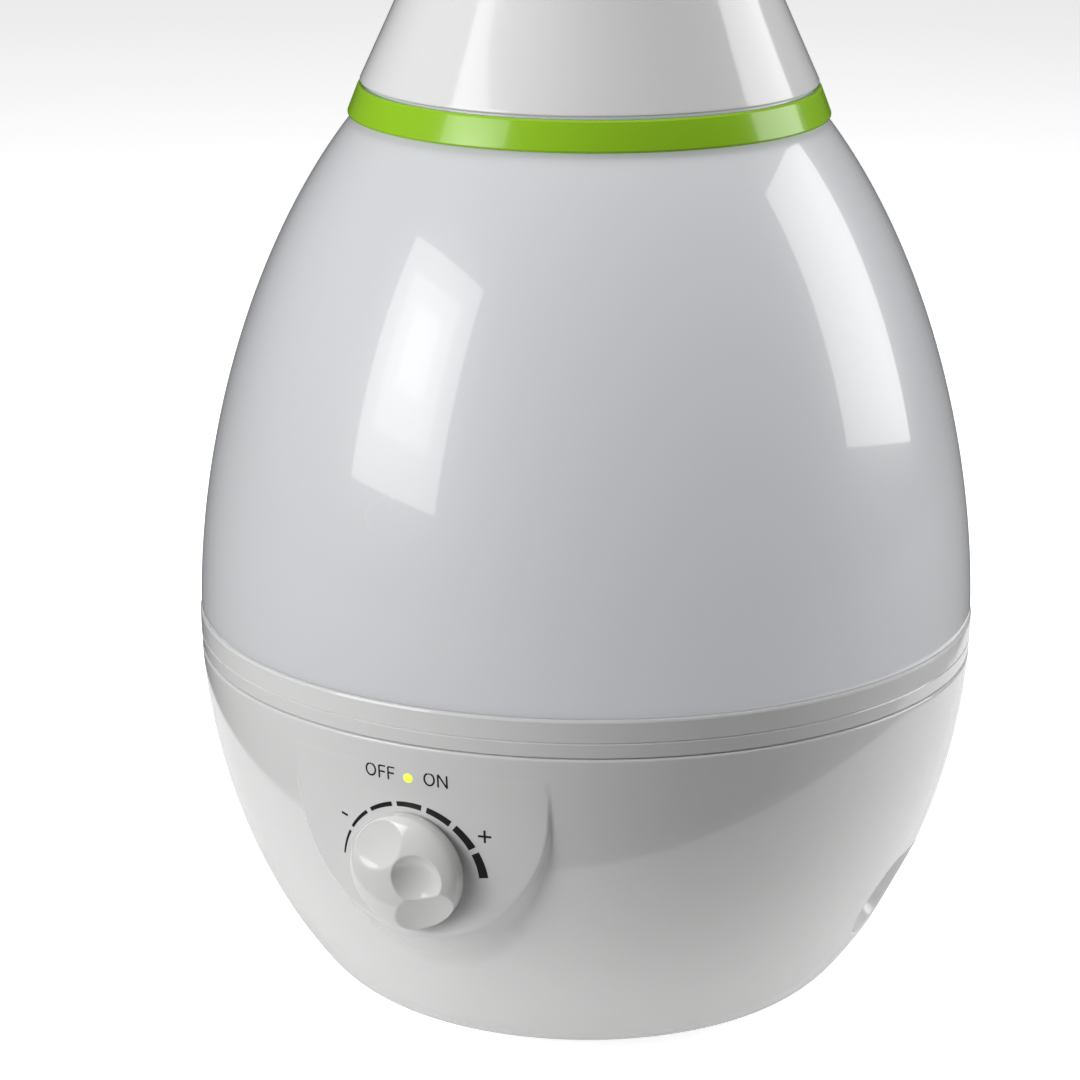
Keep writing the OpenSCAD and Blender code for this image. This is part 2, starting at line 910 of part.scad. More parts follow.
module wire_harness() {
    // transformer to board, board to transducer, board to control, board to fan
    color("firebrick")
        wire([[-16, -30, 46.4], [-16, -30, 52], [-52, -28, 52], [-52, -28, 60]], 1);
    color("black")
        wire([[-52, 20, 60], [-52, 20, 55], [-4, 2, 55], [-4, 2, 67.8]], 1);
    color("royalblue")
        wire([[-56, -20, 62.4], [-56, -20, 66], [-56, -46, 66], [-22, -74, 66], [0, -86, 66],
              [0, -panel_face_r(knob_z) + 15.4, knob_z]], 1);
    color("firebrick")
        wire([[-62, 20, 60], [-62, 20, 45], [-32, 20, 25], [-25.4, 20, 25]], 1);
}

nozzle();
top_cap();
mist_guide();
accent_ring();
tank_shell();
tank_floor();
mist_pipe();
pipe_seal();
filler_cap();
filler_gasket();
valve_stem();
valve_seal();
valve_spring();
basin();
float_ring();
float_magnet();
float_retainer();
reed_switch();
base_shell();
bottom_cover();
foot_ring();
housing_screws();
transducer_disc();
transducer_seal();
transducer_holder();
transducer_screws();
driver_board();
board_screws();
capacitors();
heat_sink();
power_transistor();
transformer_core();
transformer_winding();
transformer_screws();
potentiometer_body();
pot_nut();
pot_shaft();
knob();
led_lens();
led_lamp();
fan_housing();
fan_motor();
fan_impeller();
fan_shaft();
fan_screws();
air_duct();
cord_gland();
wire_harness();
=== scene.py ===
import json
import math

import bpy
from mathutils import Matrix, Quaternion, Vector


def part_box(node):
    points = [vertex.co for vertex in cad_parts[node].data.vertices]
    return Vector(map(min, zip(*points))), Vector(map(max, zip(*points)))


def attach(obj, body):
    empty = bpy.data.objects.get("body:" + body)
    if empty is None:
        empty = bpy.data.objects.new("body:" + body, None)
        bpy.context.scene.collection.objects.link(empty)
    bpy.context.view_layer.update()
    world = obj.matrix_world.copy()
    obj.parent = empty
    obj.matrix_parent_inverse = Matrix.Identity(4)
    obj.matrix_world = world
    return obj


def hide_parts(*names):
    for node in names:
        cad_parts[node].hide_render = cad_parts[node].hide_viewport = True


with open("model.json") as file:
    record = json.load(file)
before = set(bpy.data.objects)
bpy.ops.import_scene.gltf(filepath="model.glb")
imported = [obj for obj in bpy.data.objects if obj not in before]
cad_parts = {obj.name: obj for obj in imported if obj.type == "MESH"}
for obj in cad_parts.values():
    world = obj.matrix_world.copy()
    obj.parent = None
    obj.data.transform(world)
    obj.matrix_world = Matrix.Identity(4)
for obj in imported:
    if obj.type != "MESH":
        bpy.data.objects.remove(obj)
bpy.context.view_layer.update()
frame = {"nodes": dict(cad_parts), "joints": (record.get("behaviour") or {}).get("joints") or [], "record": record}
nodes = frame["nodes"]
scene = bpy.context.scene

# ------------------------------------------------------------------ sizes, in millimetres
MM = 0.001


def node_box(name):
    """Lowest and highest corner of a CAD node, in millimetres."""
    low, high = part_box(name)
    return low / MM, high / MM


RIM_R = node_box("basin")[1].x
SEAM_Z = node_box("basin")[1].z
SHELL_TOP = SEAM_Z - 11.0
BOWL_HALF_AXIS = 143.0
TANK_R = node_box("tank_shell")[1].x
TANK_FOOT = SEAM_Z + 0.3
TANK_REACH = 178.0
TANK_POWER = 1.86
SHOULDER_Z = node_box("accent_ring")[0].z - 0.1
COLLAR_Z = node_box("tank_shell")[1].z
RING_TOP = node_box("accent_ring")[1].z
CAP_Z = COLLAR_Z + 0.4
MOUTH_Z = node_box("top_cap")[1].z
WALL = 2.5
FOOT_Z = node_box("bottom_cover")[0].z
COVER_R = node_box("bottom_cover")[1].x

knob_joint = next(j for j in frame["joints"] if j["name"] == "knob_turn")
KNOB_AT = Vector(knob_joint["pos_m"]) / MM
KNOB_AXIS = -Vector(knob_joint["axis"]).normalized()
KNOB_R = node_box("knob")[1].x
KNOB_RISE = 9.5
PANEL_LEAN = math.radians(4)
PANEL_TOP = 95.0
PANEL_Z = 88.0
PANEL_WIDE = 38.0
PANEL_TALL = 41.0
GRIP_Z = 37.0
GRIP_W = 36.0
GRIP_H = 26.0
GRIP_TURN = math.radians(3)
GRIP_DEPTH = 8.0
LENS_Z = sum(c.z for c in node_box("led_lens")) / 2
LENS_R = node_box("led_lens")[1].x


def bowl_r(z):
    """Radius of the base's side at height z."""
    return RIM_R * math.sqrt(1 - ((SEAM_Z - z) / BOWL_HALF_AXIS) ** 2)


def tank_r(z):
    """Radius of the tank's side at height z."""
    return TANK_R * math.sqrt(1 - (max(z - SEAM_Z, 0) / TANK_REACH) ** TANK_POWER)


def panel_r(z):
    """Radius of the raised panel's face at height z."""
    return bowl_r(PANEL_TOP) - (PANEL_TOP - z) * math.tan(PANEL_LEAN)


def smooth_min(a, b, blend):
    """The lower of a and b, with a round blend between them."""
    rest = max(blend - abs(a - b), 0)
    return min(a, b) - rest * rest / (4 * blend)


def smooth_max(a, b, blend):
    return -smooth_min(-a, -b, blend)


# ------------------------------------------------------------------ node materials
def new_material(name):
    """An empty node material: (material, node tree, principled shader, object coordinates)."""
    material = bpy.data.materials.new(name)
    material.use_nodes = True
    tree = material.node_tree
    tree.nodes.clear()
    out = tree.nodes.new("ShaderNodeOutputMaterial")
    shader = tree.nodes.new("ShaderNodeBsdfPrincipled")
    tree.links.new(shader.outputs["BSDF"], out.inputs["Surface"])
    place = tree.nodes.new("ShaderNodeTexCoord")
    return material, tree, shader, place.outputs["Object"]


def noise(tree, where, scale, detail=3.0, stretch=(1, 1, 1)):
    """Noise at scale waves per metre, stretched along the axes."""
    mapping = tree.nodes.new("ShaderNodeMapping")
    mapping.inputs["Scale"].default_value = stretch
    tree.links.new(where, mapping.inputs["Vector"])
    node = tree.nodes.new("ShaderNodeTexNoise")
    node.inputs["Scale"].default_value = scale
    node.inputs["Detail"].default_value = detail
    tree.links.new(mapping.outputs["Vector"], node.inputs["Vector"])
    return node.outputs["Fac"]


def remap(tree, value, low, high, start=0.3, end=0.7):
    node = tree.nodes.new("ShaderNodeMapRange")
    node.inputs["From Min"].default_value = start
    node.inputs["From Max"].default_value = end
    node.inputs["To Min"].default_value = low
    node.inputs["To Max"].default_value = high
    tree.links.new(value, node.inputs["Value"])
    return node.outputs["Result"]


def blend_colours(tree, factor, a, b):
    node = tree.nodes.new("ShaderNodeMix")
    node.data_type = "RGBA"
    node.inputs["A"].default_value = (*a, 1)
    node.inputs["B"].default_value = (*b, 1)
    tree.links.new(factor, node.inputs["Factor"])
    return node.outputs["Result"]


def add_bump(tree, shader, height, strength, distance):
    bump = tree.nodes.new("ShaderNodeBump")
    bump.inputs["Strength"].default_value = strength
    bump.inputs["Distance"].default_value = distance
    tree.links.new(height, bump.inputs["Height"])
    tree.links.new(bump.outputs["Normal"], shader.inputs["Normal"])


def plastic(name, colour, shade, rough, coat=0.0, ior=1.5, grain=900, bump=0.05, **sockets):
    """Moulded plastic: faint drifts of colour and gloss, and a fine moulded grain."""
    material, tree, shader, where = new_material(name)
    drift = remap(tree, noise(tree, where, 22), 0, 1)
    tree.links.new(blend_colours(tree, drift, colour, shade), shader.inputs["Base Color"])
    gloss = remap(tree, noise(tree, where, 25, 1), rough[0], rough[1], 0.1, 0.9)
    tree.links.new(gloss, shader.inputs["Roughness"])
    shader.inputs["IOR"].default_value = ior
    shader.inputs["Coat Weight"].default_value = coat
    shader.inputs["Coat Roughness"].default_value = 0.04
    for socket, value in sockets.items():
        shader.inputs[socket.replace("_", " ")].default_value = value
    add_bump(tree, shader, noise(tree, where, grain, 2), bump, 0.0002)
    return material


def metal(name, colour, shade, rough, stretch=(1, 1, 1), scale=300, bump=0.2):
    """Metal with a brushed or cast grain, stretched along the axes that stretch names."""
    material, tree, shader, where = new_material(name)
    grain = noise(tree, where, scale, 5, stretch)
    tree.links.new(blend_colours(tree, remap(tree, grain, 0, 1), colour, shade), shader.inputs["Base Color"])
    tree.links.new(remap(tree, grain, rough[0], rough[1]), shader.inputs["Roughness"])
    shader.inputs["Metallic"].default_value = 1.0
    add_bump(tree, shader, grain, bump, 0.0001)
    return material


def glowing(name, colour, shade, strength):
    """A lit, tinted lens: brighter in the middle of its drifts."""
    material, tree, shader, where = new_material(name)
    drift = remap(tree, noise(tree, where, 700, 2), 0, 1)
    tint = blend_colours(tree, drift, colour, shade)
    tree.links.new(tint, shader.inputs["Base Color"])
    tree.links.new(tint, shader.inputs["Emission Color"])
    shader.inputs["Emission Strength"].default_value = strength
    tree.links.new(remap(tree, drift, 0.1, 0.25, 0, 1), shader.inputs["Roughness"])
    return material


BASE_WHITE = plastic("base_white_gloss", (0.74, 0.74, 0.735), (0.735, 0.735, 0.73), (0.10, 0.16), coat=0.5,
                     bump=0.02)
CAP_WHITE = plastic("cap_white_gloss", (0.74, 0.74, 0.74), (0.73, 0.73, 0.73), (0.10, 0.16), coat=0.5,
                    bump=0.02)
KNOB_WHITE = plastic("knob_white_gloss", (0.74, 0.74, 0.73), (0.73, 0.73, 0.72), (0.08, 0.13), coat=0.6,
                     bump=0.015)
INNER_WHITE = plastic("inner_white_satin", (0.78, 0.78, 0.77), (0.74, 0.74, 0.73), (0.32, 0.45), bump=0.1)
# The tank's emission is a painted glow: a faint bluish light stands in for the light that passes through the
# frosted wall from behind and from inside.
TANK_FROSTED_PAINTED_GLOW = plastic("tank_frosted_glossy_painted_glow", (0.40, 0.40, 0.41), (0.395, 0.40, 0.405), (0.24, 0.28),
                       coat=0.9, bump=0.02, Emission_Color=(0.92, 0.95, 1.0, 1), Emission_Strength=0.27)
ACCENT_GREEN = plastic("accent_green_gloss", (0.29, 0.555, 0.02), (0.28, 0.54, 0.018), (0.16, 0.22), coat=0.4,
                       bump=0.02)
SEAL_GREY = plastic("seal_grey_silicone", (0.10, 0.105, 0.11), (0.08, 0.085, 0.09), (0.5, 0.65),
                    grain=1500, bump=0.2)
FOOT_RUBBER = plastic("foot_black_rubber", (0.025, 0.025, 0.026), (0.035, 0.035, 0.035), (0.55, 0.7),
                      grain=1200, bump=0.4)
FLOAT_BLUE = plastic("float_blue_foam", (0.27, 0.49, 0.64), (0.22, 0.43, 0.58), (0.6, 0.75),
                     grain=700, bump=0.8)
BOARD_GREEN = plastic("board_green_lacquer", (0.01, 0.12, 0.05), (0.02, 0.17, 0.07), (0.25, 0.4), grain=1500)
CAPACITOR_BLUE = plastic("capacitor_blue_sleeve", (0.01, 0.015, 0.09), (0.02, 0.03, 0.13), (0.25, 0.35))
CASE_BLACK = plastic("case_black_satin", (0.012, 0.012, 0.013), (0.02, 0.02, 0.02), (0.4, 0.55), bump=0.3)
WIRE_RED = plastic("wire_red_insulation", (0.32, 0.012, 0.01), (0.26, 0.01, 0.01), (0.35, 0.5))
REED_GLASS = plastic("reed_glass_tube", (0.55, 0.75, 0.6), (0.5, 0.7, 0.55), (0.03, 0.06),
                     Transmission_Weight=0.8)
MARK_BLACK = plastic("mark_black_ink", (0.006, 0.006, 0.007), (0.012, 0.012, 0.012), (0.3, 0.4), bump=0.1)
STEEL = metal("steel_plated", (0.55, 0.56, 0.57), (0.45, 0.46, 0.47), (0.22, 0.35))
ALUMINIUM = metal("aluminium_extruded", (0.62, 0.63, 0.64), (0.54, 0.55, 0.56), (0.3, 0.42),
                  stretch=(6, 6, 0.4))
BRASS = metal("transducer_brass_plate", (0.62, 0.42, 0.12), (0.54, 0.36, 0.10), (0.22, 0.32))
COPPER = metal("winding_copper_enamel", (0.50, 0.15, 0.04), (0.35, 0.09, 0.02), (0.25, 0.4),
               stretch=(1, 1, 14))
IRON = metal("core_iron_laminated", (0.10, 0.10, 0.11), (0.05, 0.05, 0.055), (0.4, 0.55),
             stretch=(0.5, 18, 0.5))
FERRITE = metal("ferrite_dark", (0.03, 0.03, 0.032), (0.02, 0.02, 0.02), (0.5, 0.6))
LENS_GREEN = glowing("lens_green_lit", (0.55, 0.80, 0.03), (0.75, 0.95, 0.10), 1.0)

FINISH = {
    "cap_white": CAP_WHITE, "base_white": BASE_WHITE, "knob_white": KNOB_WHITE, "inner_white": INNER_WHITE,
    "tank_frosted": TANK_FROSTED_PAINTED_GLOW, "accent_green": ACCENT_GREEN, "seal_grey": SEAL_GREY,
    "foot_rubber": FOOT_RUBBER, "steel": STEEL, "float_blue": FLOAT_BLUE, "ferrite": FERRITE,
    "reed_glass": REED_GLASS, "transducer_brass": BRASS, "board_green": BOARD_GREEN,
    "capacitor_blue": CAPACITOR_BLUE, "heat_sink_aluminium": ALUMINIUM, "case_black": CASE_BLACK,
    "core_iron": IRON, "winding_copper": COPPER, "lens_green": LENS_GREEN, "wire_red": WIRE_RED,
}
for part in frame["record"]["subparts"]:
    mesh = nodes[part["node"]].data
    mesh.materials.clear()
    mesh.materials.append(FINISH[part["material_slot"]])


# ------------------------------------------------------------------ mesh helpers
def add_piece(name, points, faces, body, slot, stands_for=(), material=None, crease=40):
    """A piece from points in millimetres. Edges sharper than crease degrees stay sharp."""
    mesh = bpy.data.meshes.new(name)
    mesh.from_pydata([Vector(p) * MM for p in points], [], faces)
    mesh.update()
    mesh.shade_smooth()
    mesh.set_sharp_from_angle(angle=math.radians(crease))
    mesh.materials.append(material or FINISH[slot])
    piece = bpy.data.objects.new(name, mesh)
    scene.collection.objects.link(piece)
    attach(piece, body)
    if stands_for:
        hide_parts(*stands_for)
    return piece


def rounded(corners, steps=5):
    """The outline through corners (r, z) or (r, z, fillet), with an arc at each corner that has a fillet."""
    out = []
    count = len(corners)
    for i, corner in enumerate(corners):
        here = Vector(corner[:2])
        if len(corner) == 2:
            out.append(here)
            continue
        before = Vector(corners[i - 1][:2]) - here
        after = Vector(corners[(i + 1) % count][:2]) - here
        reach = corner[2] / math.tan(before.angle(after) / 2)
        reach = min(reach, before.length * 0.49, after.length * 0.49)
        start = here + before.normalized() * reach
        end = here + after.normalized() * reach
        for k in range(steps + 1):
            t = k / steps
            out.append(start * (1 - t) ** 2 + here * 2 * t * (1 - t) + end * t * t)
    return out


def turned(name, outline, body, slot, stands_for=(), sides=256, crease=40):
    """A closed outline (r, z) turned round the Z axis."""
    points = []
    faces = []
    rows = len(outline)
    for k in range(sides):
        a = 2 * math.pi * k / sides
        points += [(p[0] * math.cos(a), p[0] * math.sin(a), p[1]) for p in outline]
    for k in range(sides):
        a = k * rows
        b = (k + 1) % sides * rows
        for i in range(rows):
            j = (i + 1) % rows
            faces.append((a + i, b + i, b + j, a + j))
    return add_piece(name, points, faces, body, slot, stands_for, crease=crease)


def span(low, high, count):
    return [low + (high - low) * i / count for i in range(count + 1)]


def bezier(a, b, c, d, t):
    return a * (1 - t) ** 3 + b * 3 * t * (1 - t) ** 2 + c * 3 * t * t * (1 - t) + d * t ** 3


# ------------------------------------------------------------------ tank, ring and cap
def build_tank_shell():
    neck_r = 62.5
    bore_r = 25.6
    outer = [(tank_r(z), z) for z in span(TANK_FOOT + 0.9, SHOULDER_Z - 1.2, 90)]
    inner = [(tank_r(z) - WALL, z) for z in span(SHOULDER_Z - WALL, TANK_FOOT, 60)]
    outline = rounded(
        [(TANK_R - 0.25, TANK_FOOT, 0.3)] + outer
        + [(tank_r(SHOULDER_Z) - 0.2, SHOULDER_Z, 0.8), (neck_r, SHOULDER_Z), (neck_r, COLLAR_Z, 0.4),
           (neck_r - WALL, COLLAR_Z, 0.4), (neck_r - WALL, SHOULDER_Z + 2, 0.4),
           (bore_r, SHOULDER_Z + 2, 0.3), (bore_r, SHOULDER_Z - 0.5),
           (neck_r - WALL, SHOULDER_Z - WALL + 2)] + inner)
    # the shell wears the tank finish, and its emission is a painted glow
    return turned("tank_shell_frosted", outline, "tank", "tank_frosted", ["tank_shell"], sides=360)


def build_accent_ring():
    low, high = node_box("accent_ring")
    outline = rounded([(62.6, low.z), (high.x - 0.1, low.z, 0.5), (high.x, low.z + 0.6, 0.4),
                       (64.5, high.z - 0.4, 0.5), (64.0, high.z, 0.3), (62.6, high.z)])
    return turned("accent_ring_moulded", outline, "tank", "accent_green", ["accent_ring"], sides=360)


def build_top_cap():
    foot_r = 64
    mouth_r = 37.5
    seat_r = 33.3
    # the skirt that goes down inside the tank's neck
    skirt_r = 59.5
    skirt_z = 259
    ends = [Vector(p) for p in ((foot_r, CAP_Z), (54.4, CAP_Z + 21), (44, MOUTH_Z - 21), (mouth_r, MOUTH_Z))]
    outer = [bezier(*ends, t) for t in span(0, 1, 60)]
    inner = [p - Vector((2.25, 0.5)) for p in reversed(outer[2:-7])]
    outline = rounded(
        [(foot_r, CAP_Z, 0.5)] + [tuple(p) for p in outer[1:-1]]
        + [(mouth_r, MOUTH_Z, 0.8), (seat_r, MOUTH_Z, 0.3), (seat_r, MOUTH_Z - 9), (35.9, MOUTH_Z - 9)]
        + [tuple(p) for p in inner]
        + [(skirt_r - 2.2, CAP_Z + 2.2), (skirt_r - 2.2, skirt_z, 0.4)]
        + [(skirt_r, skirt_z, 0.4), (skirt_r, CAP_Z)])
    return turned("top_cap_moulded", outline, "lid", "cap_white", ["top_cap"], sides=360)


build_tank_shell()
build_accent_ring()
build_top_cap()


# ------------------------------------------------------------------ base shell, panel and finger recesses
def pad_height(turn, z):
    """How far the raised panel stands out at an angle from the front and a height."""
    if abs(turn) > math.radians(32) or z > PANEL_TOP or z < 30:
        return 0.0
    face = panel_r(z) - bowl_r(z)
    x = bowl_r(z) * math.sin(turn)
    out = math.hypot(x / PANEL_WIDE, (z - PANEL_Z) / PANEL_TALL)
    inside = (1 - out) * (PANEL_WIDE + PANEL_TALL) / 2
    low = max(0.0, min(1.0, (70 - z) / 22))
    wall = face + (2.2 - 1.1 * low) * inside
    crest = max(0.05, min(1.2, 0.5 * face))
    height = smooth_min(face, wall, crest)
    foot = 0.3 + 1.8 * low
    return max(0.0, smooth_max(height, 0.0, foot) if height > -foot else 0.0)


def grip_cut(turn, z):
    """Depth of the finger recesses, the turn measured from the front."""
    depth = 0.0
    for side in (-1, 1):
        across = turn * side - (math.pi / 2 + GRIP_TURN)
        if abs(across) > math.radians(20) or abs(z - GRIP_Z) > GRIP_H:
            continue
        u = bowl_r(z) * math.sin(across)
        core = max(abs(u) - (GRIP_W - GRIP_H) / 2, 0)
        inside = GRIP_H / 2 - math.hypot(core, z - GRIP_Z)
        scoop = 1.3 * inside
        depth = max(depth, smooth_min(GRIP_DEPTH, scoop, 5.0))
    return max(0.0, depth)


def shell_r(turn, z):
    return bowl_r(z) + pad_height(turn, z) - grip_cut(turn, z)


def around_turns():
    """Turns round the shell from the front: close together over the panel and the recesses."""
    turns = []
    a = -180.0
    while a < 179.99:
        turns.append(math.radians(a))
        side = abs(a)
        fine = side < 27 or 78 < side < 112
        a = round(a + (0.3 if fine else 1.0), 4)
    return turns


def build_base_shell():
    bend_z = 12.0
    bend_r = bowl_r(bend_z)
    slope = (RIM_R / BOWL_HALF_AXIS) ** 2 * (SEAM_Z - bend_z) / bend_r
    corner = Vector((bend_r - (bend_z - FOOT_Z) * slope, FOOT_Z))
    start = Vector((COVER_R + 0.3, FOOT_Z))
    end = Vector((bend_r, bend_z))
    foot = [start * (1 - t) ** 2 + corner * 2 * t * (1 - t) + end * t * t for t in span(0, 1, 14)]
    side = [Vector((bowl_r(z), z)) for z in span(bend_z + 0.6, SHELL_TOP - 0.6, 150)]
    top_r = bowl_r(SHELL_TOP)
    lip = [Vector((top_r - 0.15, SHELL_TOP - 0.2)), Vector((top_r - 0.5, SHELL_TOP)),
           Vector((top_r - WALL, SHELL_TOP))]
    inside = [Vector((bowl_r(z) - WALL, z)) for z in span(SHELL_TOP - 4, bend_z + 2, 40)]
    step = [Vector(p) for p in ((bend_r - WALL - 4, 8.0), (60, 7.0), (60, 4.5), (COVER_R + 0.3, 4.5))]
    outline = foot + side + lip + inside + step
    turns = around_turns()
    rows = len(outline)
    points = []
    for turn in turns:
        for p in outline:
            r = p.x + (shell_r(turn, p.y) - bowl_r(p.y) if bend_z < p.y < SHELL_TOP - 0.5 else 0)
            points.append((r * math.sin(turn), -r * math.cos(turn), p.y))
    faces = []
    for k in range(len(turns)):
        a = k * rows
        b = (k + 1) % len(turns) * rows
        faces += [(a + i, b + i, b + (i + 1) % rows, a + (i + 1) % rows) for i in range(rows)]
    return add_piece("base_shell_moulded", points, faces, "base", "base_white", ["base_shell"], crease=60)


build_base_shell()


# ------------------------------------------------------------------ printed marks on the panel
def on_panel(x, z, lift):
    """The point on the panel's face in front of (x, z), lifted off it."""
    turn = math.asin(x / panel_r(z))
    r = shell_r(turn, z) + lift
    return (r * math.sin(turn), -r * math.cos(turn), z)


def print_strip(name, edges):
    """A thin printed strip; edges are pairs of points (x, z) on its two long sides."""
    points = []
    for lift in (-0.05, 0.04):
        for left, right in edges:
            points += [on_panel(*left, lift), on_panel(*right, lift)]
    top = 2 * len(edges)
    faces = [(0, 1, top + 1, top), (top - 2, 2 * top - 2, 2 * top - 1, top - 1)]
    for i in range(0, top - 2, 2):
        a, b, c, d = i, i + 1, i + 3, i + 2
        faces += [(a, d, c, b), (top + a, top + b, top + c, top + d)]
        faces += [(a, top + a, top + d, d), (b, c, top + c, top + b)]
    return add_piece(name, points, faces, "base", "case_black", material=MARK_BLACK)


def print_bar(name, a, b, width, steps=6):
    """A straight printed stroke from a to b."""
    a, b = Vector(a), Vector(b)
    across = Vector((-(b - a).y, (b - a).x)).normalized() * width / 2
    print_strip(name, [(a.lerp(b, t) + across, a.lerp(b, t) - across) for t in span(0, 1, steps)])


def print_oval(name, centre, width, height, stroke, steps=40):
    """A printed letter O."""
    edges = []
    for t in span(0, 2 * math.pi, steps):
        out = Vector((math.cos(t) * width / 2, math.sin(t) * height / 2))
        inner = Vector((math.cos(t) * (width / 2 - stroke), math.sin(t) * (height / 2 - stroke)))
        edges.append((Vector(centre) + out, Vector(centre) + inner))
    print_strip(name, edges)


def print_dial():
    """Seven dashes round the knob that grow thicker clockwise."""
    count = 7
    start = 172.5
    dash = 19.9
    gap = 4.2
    outer = 22.0
    centre_z = KNOB_AT.z - 3.2
    whole = count * dash + (count - 1) * gap
    for i in range(count):
        edges = []
        for t in span(0, 1, 12):
            passed = i * (dash + gap) + dash * t
            a = math.radians(start - passed)
            thick = 0.5 + 2.0 * passed / whole
            edges.append([(r * math.cos(a), centre_z + r * math.sin(a)) for r in (outer, outer - thick)])
        print_strip(f"dial_dash_{i + 1}", edges)


def print_letters():
    tall = 3.9
    wide = 3.35
    pen = 0.5
    row = LENS_Z + 0.4
    foot = row - tall / 2
    head = row + tall / 2
    left = -13.1
    print_oval("mark_off_o", (left + wide / 2, row), wide, tall, pen)
    for k, x in enumerate((left + 4.3, left + 7.1)):
        print_bar(f"mark_off_f{k + 1}_stem", (x, foot), (x, head), pen)
        print_bar(f"mark_off_f{k + 1}_top", (x, head - pen / 2), (x + 2.0, head - pen / 2), pen)
        print_bar(f"mark_off_f{k + 1}_middle", (x, row), (x + 1.8, row), pen)
    right = 4.6
    print_oval("mark_on_o", (right + wide / 2, row), wide, tall, pen)
    x = right + 4.2
    print_bar("mark_on_n_left", (x, foot), (x, head), pen)
    print_bar("mark_on_n_right", (x + 2.5, foot), (x + 2.5, head), pen)
    print_bar("mark_on_n_slant", (x, head - 0.1), (x + 2.5, foot + 0.1), pen)
    print_bar("mark_minus", (-21.9, 78.3), (-19.9, 77.8), 0.65)
    print_bar("mark_plus_across", (19.4, 78.6), (23.0, 78.6), 0.6)
    print_bar("mark_plus_up", (21.2, 76.8), (21.2, 80.4), 0.6)


print_dial()
print_letters()


# ------------------------------------------------------------------ knob and indicator lens
KNOB_DOME_Z = 4.0
KNOB_UNDER = 0.7
SCOOP_FLOOR = 1.5
HOLLOW_R = 40.0
DIMPLE_R = 11.6
SCOOP_BLEND = 0.25


def knob_scoops():
    """Spheres (centre, radius) that hollow the knob, in its own frame: right, up, out of the panel."""
    scoops = []
    # two long hollows beside the grip ridge: direction, distance of the lip from the axis, slope at the lip
    for toward, lip, slope in ((-55, 5.8, 40), (125, 4.2, 30)):
        a = math.radians(toward)
        tilt = math.radians(slope)
        lip_z = KNOB_DOME_Z + (KNOB_RISE - KNOB_DOME_Z) * math.sqrt(1 - (lip / KNOB_R) ** 2)
        out = lip + HOLLOW_R * math.sin(tilt)
        centre = Vector((out * math.cos(a), out * math.sin(a), lip_z + HOLLOW_R * math.cos(tilt)))
        scoops.append((centre, HOLLOW_R))
    # the round dimple at the end of the ridge that shows the setting
    scoops.append((Vector((7.0, 1.0, KNOB_RISE + 8.1)), DIMPLE_R))
    return scoops


def scooped(scoops, x, y, h):
    """Height h of the dome at (x, y), or the floor of the scoops where they cut lower."""
    floor = h
    for centre, radius in scoops:
        across = radius ** 2 - (x - centre.x) ** 2 - (y - centre.y) ** 2
        if across > 0:
            floor = smooth_min(floor, centre.z - math.sqrt(across), SCOOP_BLEND)
    return max(floor, min(h, SCOOP_FLOOR))


def build_knob():
    skirt = [(KNOB_R - 1.4, KNOB_UNDER), (KNOB_R - 0.6, 0.8), (KNOB_R - 0.15, 1.2)]
    skirt += [(KNOB_R, 2.0), (KNOB_R, 3.0)]
    dome = [((KNOB_R - 0.05) * math.cos(a), KNOB_DOME_Z + (KNOB_RISE - KNOB_DOME_Z) * math.sin(a))
            for a in span(0, math.radians(89.2), 110)]
    profile = skirt + dome
    sides = 300
    scoops = knob_scoops()
    up = Vector((0, 0, 1)) - KNOB_AXIS * KNOB_AXIS.z
    up.normalize()
    right = Vector((1, 0, 0))
    points = []
    for k in range(sides):
        a = 2 * math.pi * k / sides
        for r, h in profile:
            x = r * math.cos(a)
            y = r * math.sin(a)
            points.append(KNOB_AT + right * x + up * y + KNOB_AXIS * scooped(scoops, x, y, h))
    rows = len(profile)
    apex = len(points)
    points.append(KNOB_AT + KNOB_AXIS * scooped(scoops, 0, 0, KNOB_RISE))
    under = len(points)
    points.append(KNOB_AT + KNOB_AXIS * KNOB_UNDER)
    faces = []
    for k in range(sides):
        a = k * rows
        b = (k + 1) % sides * rows
        faces += [(a + i, b + i, b + i + 1, a + i + 1) for i in range(rows - 1)]
        faces.append((a + rows - 1, b + rows - 1, apex))
        faces.append((a, under, b))
    return add_piece("knob_sculpted", points, faces, "knob", "knob_white", ["knob"], crease=50)


def build_lens():
    low, high = node_box("led_lens")
    dome = [(LENS_R * math.cos(a), 0.55 * math.sin(a)) for a in span(0, math.radians(88), 10)]
    profile = [(LENS_R, -3.0)] + dome
    sides = 48
    points = []
    faces = []
    for k in range(sides):
        a = 2 * math.pi * k / sides
        points += [(r * math.cos(a), low.y - h + 0.1, LENS_Z + r * math.sin(a)) for r, h in profile]
    rows = len(profile)
    points += [(0, low.y - 0.45, LENS_Z), (0, low.y + 3.1, LENS_Z)]
    for k in range(sides):
        a = k * rows
        b = (k + 1) % sides * rows
        faces += [(a + i, a + i + 1, b + i + 1, b + i) for i in range(rows - 1)]
        faces.append((a + rows - 1, sides * rows, b + rows - 1))
        faces.append((a, b, sides * rows + 1))
    return add_piece("led_lens_domed", points, faces, "base", "lens_green", ["led_lens"], crease=60)


build_knob()
build_lens()


# ------------------------------------------------------------------ foot ring
def build_foot_ring():
    low, high = node_box("foot_ring")
    inner = high.x - 6
    outline = rounded([(inner, low.z, 0.8), (high.x, low.z, 0.8), (high.x, high.z), (inner, high.z)])
    return turned("foot_ring_rubber", outline, "base", "foot_rubber", ["foot_ring"], sides=200)


build_foot_ring()

# ------------------------------------------------------------------ camera
CAMERA_TURN = math.radians(25.1)
CAMERA_DISTANCE = 0.9954
CAMERA_HEIGHT = 0.4206
CAMERA_PITCH = math.radians(16.302)
CAMERA_YAW = math.radians(-0.762)
CAMERA_ROLL = math.radians(0.226)


